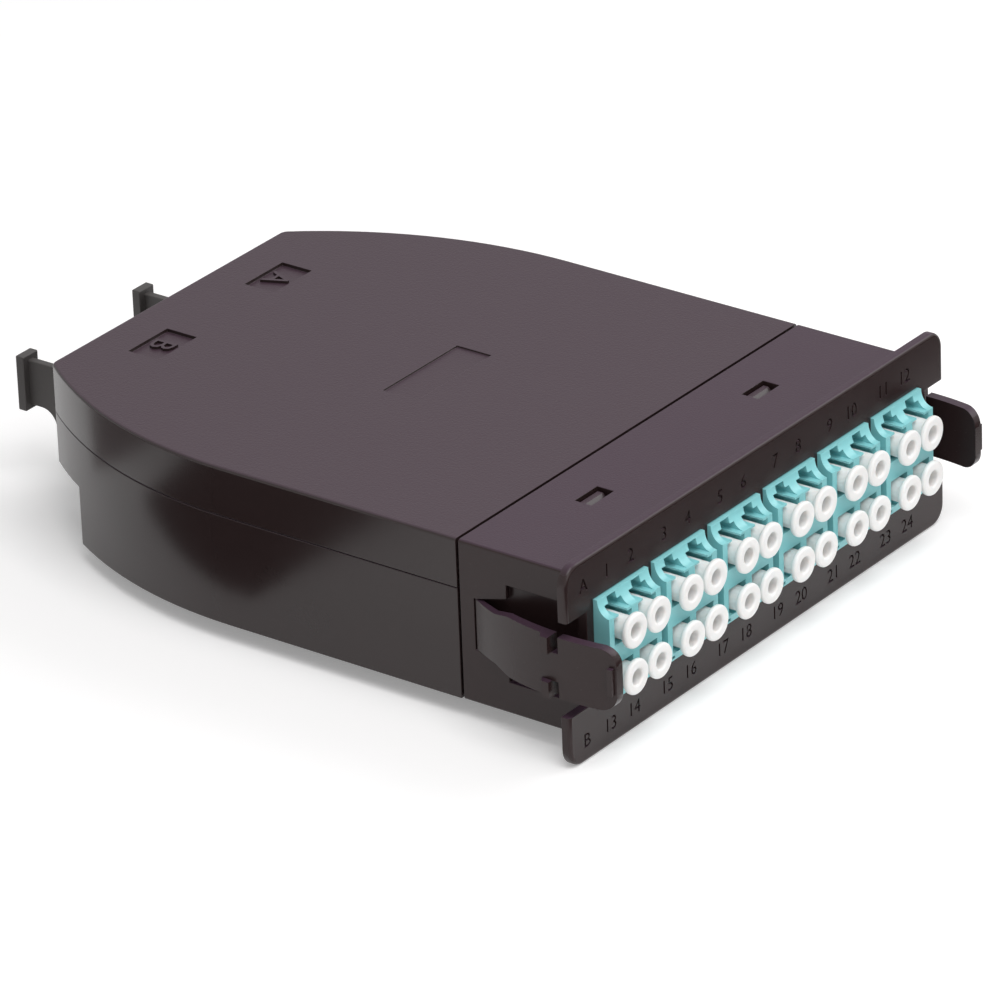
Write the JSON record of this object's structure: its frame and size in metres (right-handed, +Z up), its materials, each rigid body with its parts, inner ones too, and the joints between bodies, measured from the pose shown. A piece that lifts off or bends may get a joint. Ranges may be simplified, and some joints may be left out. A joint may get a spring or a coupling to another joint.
{
  "type": "fibre cassette",
  "caption": "Fibre optic cassette with LC ports and dust caps in front, MPO inputs at the back and sprung release levers at the sides.",
  "frame": {"origin": "centre of the faceplate's back face, where the cassette seats on its panel", "axes": "+X towards port 12, +Y back into the rack, +Z up"},
  "size_m": [0.1032, 0.1441, 0.034],
  "materials": {
    "black_plastic": "black ABS, satin top and polished sides",
    "aqua_plastic": "aqua moulded plastic",
    "white_plastic": "soft white polyethylene",
    "cap_plastic": "soft dark grey plastic",
    "plug_plastic": "beige moulded plastic",
    "fibre_jacket": "aqua fibre jacket"
  },
  "bodies": {
    "cassette": {"front_frame": "black_plastic", "base_tray": "black_plastic", "top_cover": "black_plastic", "lc_adapter_1": "aqua_plastic", "lc_connectors_1": "plug_plastic", "lc_adapter_2": "aqua_plastic", "lc_connectors_2": "plug_plastic", "lc_adapter_3": "aqua_plastic", "lc_connectors_3": "plug_plastic", "lc_adapter_4": "aqua_plastic", "lc_connectors_4": "plug_plastic", "lc_adapter_5": "aqua_plastic", "lc_connectors_5": "plug_plastic", "lc_adapter_6": "aqua_plastic", "lc_connectors_6": "plug_plastic", "mpo_adapter_a": "black_plastic", "mpo_connector_a": "aqua_plastic", "fibre_fanout_a": "fibre_jacket", "mpo_adapter_b": "black_plastic", "mpo_connector_b": "aqua_plastic", "fibre_fanout_b": "fibre_jacket"},
    "lever_left": {"release_lever_left": "black_plastic"},
    "lever_right": {"release_lever_right": "black_plastic"},
    "cap_01": {"dust_cap_01": "white_plastic"},
    "cap_02": {"dust_cap_02": "white_plastic"},
    "cap_03": {"dust_cap_03": "white_plastic"},
    "cap_04": {"dust_cap_04": "white_plastic"},
    "cap_05": {"dust_cap_05": "white_plastic"},
    "cap_06": {"dust_cap_06": "white_plastic"},
    "cap_07": {"dust_cap_07": "white_plastic"},
    "cap_08": {"dust_cap_08": "white_plastic"},
    "cap_09": {"dust_cap_09": "white_plastic"},
    "cap_10": {"dust_cap_10": "white_plastic"},
    "cap_11": {"dust_cap_11": "white_plastic"},
    "cap_12": {"dust_cap_12": "white_plastic"},
    "cap_13": {"dust_cap_13": "white_plastic"},
    "cap_14": {"dust_cap_14": "white_plastic"},
    "cap_15": {"dust_cap_15": "white_plastic"},
    "cap_16": {"dust_cap_16": "white_plastic"},
    "cap_17": {"dust_cap_17": "white_plastic"},
    "cap_18": {"dust_cap_18": "white_plastic"},
    "cap_19": {"dust_cap_19": "white_plastic"},
    "cap_20": {"dust_cap_20": "white_plastic"},
    "cap_21": {"dust_cap_21": "white_plastic"},
    "cap_22": {"dust_cap_22": "white_plastic"},
    "cap_23": {"dust_cap_23": "white_plastic"},
    "cap_24": {"dust_cap_24": "white_plastic"},
    "rear_cap_a": {"mpo_cap_a": "cap_plastic"},
    "rear_cap_b": {"mpo_cap_b": "cap_plastic"}
  },
  "joints": [
    {"name": "press_left", "type": "hinge", "parent": "cassette", "child": "lever_left", "pos_m": [-0.0453, 0.0193, 0], "axis": [0, 0, 1], "range_deg": [0, 5.5], "stiffness_Nm_per_rad": 1},
    {"name": "press_right", "type": "hinge", "parent": "cassette", "child": "lever_right", "pos_m": [0.0453, 0.0193, 0], "axis": [0, 0, -1], "range_deg": [0, 5.5], "stiffness_Nm_per_rad": 1},
    {"name": "pull_cap_01", "type": "slide", "parent": "cassette", "child": "cap_01", "axis": [0, -1, 0], "range_m": [0, 0.01]},
    {"name": "pull_cap_02", "type": "slide", "parent": "cassette", "child": "cap_02", "axis": [0, -1, 0], "range_m": [0, 0.01]},
    {"name": "pull_cap_03", "type": "slide", "parent": "cassette", "child": "cap_03", "axis": [0, -1, 0], "range_m": [0, 0.01]},
    {"name": "pull_cap_04", "type": "slide", "parent": "cassette", "child": "cap_04", "axis": [0, -1, 0], "range_m": [0, 0.01]},
    {"name": "pull_cap_05", "type": "slide", "parent": "cassette", "child": "cap_05", "axis": [0, -1, 0], "range_m": [0, 0.01]},
    {"name": "pull_cap_06", "type": "slide", "parent": "cassette", "child": "cap_06", "axis": [0, -1, 0], "range_m": [0, 0.01]},
    {"name": "pull_cap_07", "type": "slide", "parent": "cassette", "child": "cap_07", "axis": [0, -1, 0], "range_m": [0, 0.01]},
    {"name": "pull_cap_08", "type": "slide", "parent": "cassette", "child": "cap_08", "axis": [0, -1, 0], "range_m": [0, 0.01]},
    {"name": "pull_cap_09", "type": "slide", "parent": "cassette", "child": "cap_09", "axis": [0, -1, 0], "range_m": [0, 0.01]},
    {"name": "pull_cap_10", "type": "slide", "parent": "cassette", "child": "cap_10", "axis": [0, -1, 0], "range_m": [0, 0.01]},
    {"name": "pull_cap_11", "type": "slide", "parent": "cassette", "child": "cap_11", "axis": [0, -1, 0], "range_m": [0, 0.01]},
    {"name": "pull_cap_12", "type": "slide", "parent": "cassette", "child": "cap_12", "axis": [0, -1, 0], "range_m": [0, 0.01]},
    {"name": "pull_cap_13", "type": "slide", "parent": "cassette", "child": "cap_13", "axis": [0, -1, 0], "range_m": [0, 0.01]},
    {"name": "pull_cap_14", "type": "slide", "parent": "cassette", "child": "cap_14", "axis": [0, -1, 0], "range_m": [0, 0.01]},
    {"name": "pull_cap_15", "type": "slide", "parent": "cassette", "child": "cap_15", "axis": [0, -1, 0], "range_m": [0, 0.01]},
    {"name": "pull_cap_16", "type": "slide", "parent": "cassette", "child": "cap_16", "axis": [0, -1, 0], "range_m": [0, 0.01]},
    {"name": "pull_cap_17", "type": "slide", "parent": "cassette", "child": "cap_17", "axis": [0, -1, 0], "range_m": [0, 0.01]},
    {"name": "pull_cap_18", "type": "slide", "parent": "cassette", "child": "cap_18", "axis": [0, -1, 0], "range_m": [0, 0.01]},
    {"name": "pull_cap_19", "type": "slide", "parent": "cassette", "child": "cap_19", "axis": [0, -1, 0], "range_m": [0, 0.01]},
    {"name": "pull_cap_20", "type": "slide", "parent": "cassette", "child": "cap_20", "axis": [0, -1, 0], "range_m": [0, 0.01]},
    {"name": "pull_cap_21", "type": "slide", "parent": "cassette", "child": "cap_21", "axis": [0, -1, 0], "range_m": [0, 0.01]},
    {"name": "pull_cap_22", "type": "slide", "parent": "cassette", "child": "cap_22", "axis": [0, -1, 0], "range_m": [0, 0.01]},
    {"name": "pull_cap_23", "type": "slide", "parent": "cassette", "child": "cap_23", "axis": [0, -1, 0], "range_m": [0, 0.01]},
    {"name": "pull_cap_24", "type": "slide", "parent": "cassette", "child": "cap_24", "axis": [0, -1, 0], "range_m": [0, 0.01]},
    {"name": "pull_rear_cap_a", "type": "slide", "parent": "cassette", "child": "rear_cap_a", "axis": [0, 1, 0], "range_m": [0, 0.008]},
    {"name": "pull_rear_cap_b", "type": "slide", "parent": "cassette", "child": "rear_cap_b", "axis": [0, 1, 0], "range_m": [0, 0.008]}
  ]
}
